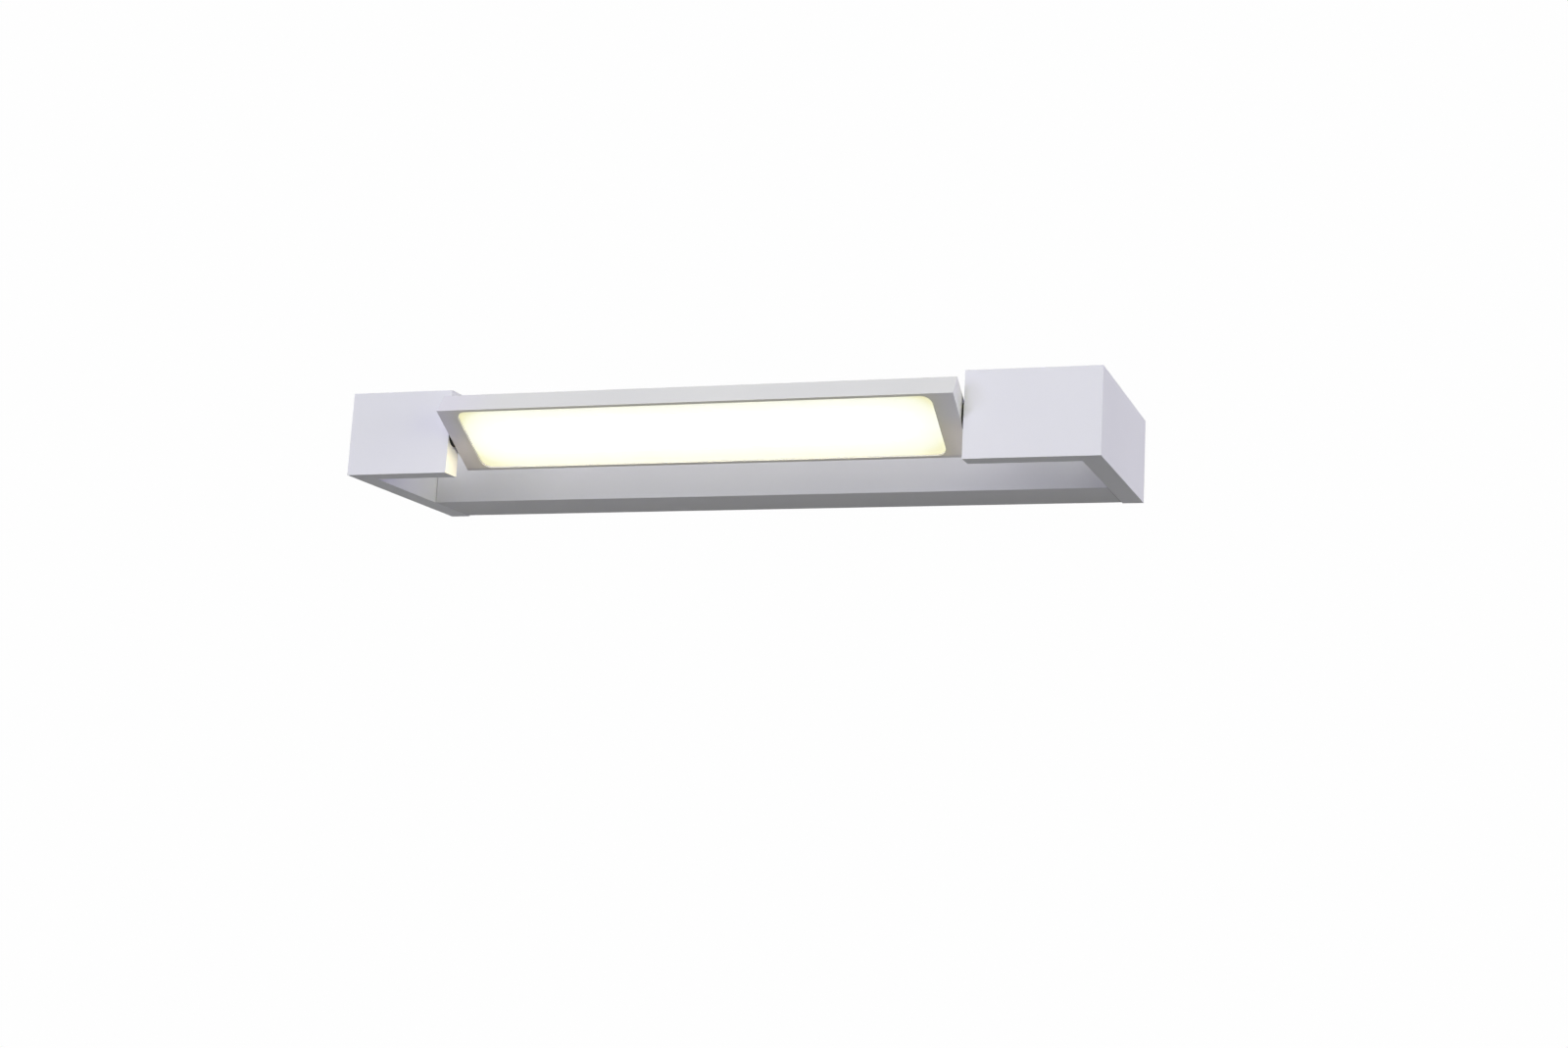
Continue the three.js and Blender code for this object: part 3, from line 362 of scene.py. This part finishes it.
def sleeve(name, sleeve_half):
    """A capacitor's shrunk sleeve, with bare aluminium on its two ends."""
    material, t, place, shader = start(name)
    _, _, z = t.axes(place)
    grain = t.noise(place, 600)
    dark = t.shades(grain, (0.014, 0.018, 0.028), (0.03, 0.034, 0.048))
    bare = t.shades(grain, (0.5, 0.5, 0.52), (0.62, 0.62, 0.64))
    t.feed(shader, {
        "Base Color": t.mix(t.past(z, sleeve_half), dark, bare),
        "Roughness": t.levels(grain, 0.3, 0.42),
        "Normal": t.bump(grain, 0.02 * MM, 0.3),
    })
    return material


def insulation(name, light, dark, stripe=None):
    """A wire's insulation, extruded along it; the earth wire has a second colour round it in bands."""
    material, t, place, shader = start(name)
    lines = t.noise(t.stretch(place, (0.08, 1, 1)), 1400)
    colour = t.shades(lines, dark, light)
    if stripe:
        bands = t.add("ShaderNodeTexWave", {"Vector": place, "Scale": 70.0, "Distortion": 0.4})
        colour = t.mix(t.spread(bands.outputs["Fac"], 0.48, 0.52), colour, stripe)
    t.feed(shader, {
        "Base Color": colour,
        "Roughness": t.levels(lines, 0.38, 0.5),
        "Normal": t.bump(lines, 0.02 * MM, 0.4),
    })
    return material


finishes = {
    "white_paint": powder_coat("white_paint_looks", srgb(228, 228, 234), srgb(223, 223, 230))[0],
    "opal_plate": opal_plate("opal_plate_looks"),
    "zinc_steel": plated_metal("zinc_steel_looks", (0.64, 0.66, 0.68), (0.5, 0.52, 0.54),
                               0.36, 700.0, spangle=0.15),
    "bright_steel": plated_metal("bright_steel_looks", (0.72, 0.71, 0.69), (0.6, 0.59, 0.57),
                                 0.24, 900.0),
    "raw_aluminium": plated_metal("raw_aluminium_looks", (0.68, 0.69, 0.7), (0.58, 0.59, 0.6),
                                  0.38, 500.0),
    "black_nylon": moulded("black_nylon_looks", grey(0.012), grey(0.007), 0.6, specular=0.25),
    "black_rubber": moulded("black_rubber_looks", grey(0.014), grey(0.008), 0.78, 900.0, 0.04, 0.3),
    "white_plastic": moulded("white_plastic_looks", srgb(238, 237, 232), srgb(228, 227, 221), 0.46),
    "green_board": circuit_board("green_board_looks", (0.012, 0.09, 0.035, 1), (0.04, 0.2, 0.08, 1)),
    "white_board": diode_board("white_board_looks"),
    "ferrite": wound_ferrite("ferrite_looks", core_half=5 * MM),
    "capacitor_sleeve": sleeve("capacitor_sleeve_looks", sleeve_half=8.3 * MM),
    "brown_wire": insulation("brown_wire_looks", (0.12, 0.04, 0.015), (0.08, 0.026, 0.01)),
    "blue_wire": insulation("blue_wire_looks", (0.02, 0.1, 0.4), (0.014, 0.07, 0.3)),
    "green_wire": insulation("green_wire_looks", (0.03, 0.24, 0.05), (0.02, 0.18, 0.035),
                             stripe=(0.75, 0.62, 0.04, 1)),
    "white_silicone": moulded("white_silicone_looks", srgb(232, 232, 228), srgb(222, 222, 217),
                              0.55, 700.0),
}
own_coats = {
    "head_shell": head_coat("head_paint_looks", srgb(221, 221, 222), srgb(216, 216, 218),
                            left_tone=srgb(218, 216, 226)),
    "bar_housing": bar_coat("bar_paint_looks", srgb(226, 225, 231), srgb(221, 220, 227)),
}


# Edges: every node is welded and gets smooth round faces, and many get small bevels along sharp edges

WELD_REACH = 0.002 * MM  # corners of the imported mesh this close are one
SMOOTH_BELOW = math.radians(32)  # faces that meet at less are shaded as one round face
FLAT_BELOW = math.radians(1)  # and at less than this they are one flat face
BEVEL_ABOVE = math.radians(40)  # faces that meet at more have a bevel between them
SLIVER_REACH = 0.0001 * MM  # takes out the slivers that bevels leave where they meet
BEVELS = {  # widths in mm, for the nodes of each slot
    "white_paint": 0.35, "opal_plate": 0.1, "white_plastic": 0.25, "black_nylon": 0.12,
    "black_rubber": 0.2, "zinc_steel": 0.15, "bright_steel": 0.1, "raw_aluminium": 0.15,
}
THIN_BEVELS = {"reflector_tray": 0.1, "lens_seal": 0.05}  # for nodes too thin for their slot's width


def soft_normals():
    """A node group that welds the corners and shades smoothly across all but the sharp edges."""
    group = bpy.data.node_groups.new("soft_normals", "GeometryNodeTree")
    group.interface.new_socket("Geometry", in_out="INPUT", socket_type="NodeSocketGeometry")
    group.interface.new_socket("Geometry", in_out="OUTPUT", socket_type="NodeSocketGeometry")
    nodes, links = group.nodes, group.links
    entry = nodes.new("NodeGroupInput")
    leave = nodes.new("NodeGroupOutput")
    weld = nodes.new("GeometryNodeMergeByDistance")
    weld.inputs["Distance"].default_value = WELD_REACH
    angle = nodes.new("GeometryNodeInputMeshEdgeAngle")
    sharp = nodes.new("FunctionNodeCompare")
    sharp.operation = "GREATER_THAN"
    sharp.inputs[1].default_value = SMOOTH_BELOW
    shade = nodes.new("GeometryNodeSetMeshNormal")
    shade.mode = "SHARPNESS"
    shade.inputs["Remove Custom"].default_value = True
    links.new(entry.outputs[0], weld.inputs["Geometry"])
    links.new(weld.outputs[0], shade.inputs["Mesh"])
    links.new(angle.outputs["Unsigned Angle"], sharp.inputs[0])
    links.new(sharp.outputs[0], shade.inputs["Edge Sharpness"])
    links.new(shade.outputs[0], leave.inputs[0])
    return group


def soften(node, bevel_width, group):
    """Smooths a node, and bevels it where a width in mm is given. Modifiers do it: its mesh stays."""
    smooth = node.modifiers.new("soft_normals", "NODES")
    smooth.node_group = group
    if bevel_width is None:
        return
    flat = node.modifiers.new("flat_faces", "DECIMATE")
    flat.decimate_type = "DISSOLVE"
    flat.angle_limit = FLAT_BELOW
    bevel = node.modifiers.new("edges", "BEVEL")
    bevel.width = bevel_width * MM
    bevel.segments = 3
    bevel.limit_method = "ANGLE"
    bevel.angle_limit = BEVEL_ABOVE
    bevel.harden_normals = True
    joined = node.modifiers.new("joined_corners", "WELD")
    joined.merge_threshold = SLIVER_REACH


normals_group = soft_normals()
for name, node in frame["nodes"].items():
    slot = node.material_slots[0].material.name
    node.material_slots[0].material = own_coats.get(name, finishes[slot])
    soften(node, THIN_BEVELS.get(name, BEVELS.get(slot)), normals_group)


# Floor, light and background

FLOOR_HALF = 8.0
FLOOR_HEIGHT = -1.8
FLOOR_BOUNCE = 0.17  # the floor's colour for the rays that light the lamp
FLOOR_SHOWN = 0.8  # and for the camera, to which it also has a light of its own
FLOOR_LIGHT = 0.45
SKY_SHOWN = 0.992  # the background's level for the camera; it lights nothing


def seen(t):
    """1 for rays from the camera and in mirror images, 0 for the rays that light things."""
    path = t.add("ShaderNodeLightPath").outputs
    shiny = t.math("MAXIMUM", path["Is Glossy Ray"], path["Is Transmission Ray"])
    return t.math("MAXIMUM", path["Is Camera Ray"], shiny)


def pale_floor():
    material = bpy.data.materials.new("pale_floor")
    t = Tree(material)
    look = seen(t)
    colour = t.mix(look, grey(FLOOR_BOUNCE), grey(FLOOR_SHOWN))
    diffuse = t.add("ShaderNodeBsdfDiffuse", {"Color": colour})
    strength = t.math("MULTIPLY", look, FLOOR_LIGHT)
    light = t.add("ShaderNodeEmission", {"Color": grey(1), "Strength": strength})
    both = t.add("ShaderNodeAddShader", {0: diffuse.outputs[0], 1: light.outputs[0]})
    t.add("ShaderNodeOutputMaterial", {"Surface": both.outputs[0]})
    return material


def pale_world():
    world = bpy.data.worlds.new("studio")
    t = Tree(world)
    background = t.add("ShaderNodeBackground", {"Color": t.mix(seen(t), grey(0), grey(SKY_SHOWN))})
    t.add("ShaderNodeOutputWorld", {"Surface": background.outputs[0]})
    return world


def put(name, data):
    """Adds an object to the scene."""
    made = bpy.data.objects.new(name, data)
    bpy.context.scene.collection.objects.link(made)
    return made


def sun(name, azimuth, elevation, size, strength, colour):
    """A distant soft lamp. Azimuth 0 shines from the front and 90 from the right. Its place in the sky
    and its size, seen from the object, are in degrees."""
    data = bpy.data.lights.new(name, "SUN")
    data.angle = math.radians(size)
    data.energy = strength
    data.color = colour
    around = math.radians(azimuth)
    up = math.radians(elevation)
    towards = Vector((math.sin(around) * math.cos(up), -math.cos(around) * math.cos(up), math.sin(up)))
    put(name, data).rotation_euler = towards.to_track_quat("Z", "Y").to_euler()


plane = bpy.data.meshes.new("floor")
directions = ((-1, -1), (1, -1), (1, 1), (-1, 1))
corners = [(x * FLOOR_HALF, y * FLOOR_HALF, FLOOR_HEIGHT) for x, y in directions]
plane.from_pydata(corners, [], [(0, 1, 2, 3)])
plane.materials.append(pale_floor())
floor = put("floor", plane)
bpy.context.scene.world = pale_world()

sun("left_low", -35, 2, 24, 0.53, (0.98, 1, 1.23))
sun("left_front", -16, 14, 24, 0.51, (1.04, 0.98, 1.2))
sun("right_front", 75, 11, 38, 0.9, (1, 1.04, 0.35))
sun("right_side", 90, 5, 24, 0.93, (1.02, 0.94, 1.75))
sun("above_front", 0, 38, 40, 1.77, (1, 1.01, 0.99))
sun("above_rear", 180, 45, 30, 1.0, (1, 1, 1.02))


# Camera: its lens, place and turn were fitted to the edges of the frame and head in the photograph

camera_data = bpy.data.cameras.new("camera")
camera_data.sensor_width = 36
camera_data.lens = 46.082
camera_data.shift_x = -0.11755
camera_data.shift_y = 0.02852
camera_data.clip_start = 0.01
camera_place = Vector((0.44309, -1.12435, -0.26868))
rightward = Vector((0.96239, 0.26897, 0.03826))
upward = Vector((0.01054, -0.17769, 0.98403))
forward = Vector((-0.27147, 0.94662, 0.17384))
camera_turn = Matrix((rightward, upward, -forward)).transposed()
camera = put("camera", camera_data)
camera.matrix_world = Matrix.Translation(camera_place) @ camera_turn.to_4x4()
bpy.context.scene.camera = camera

bpy.context.scene.view_settings.view_transform = "Standard"
bpy.context.view_layer.update()
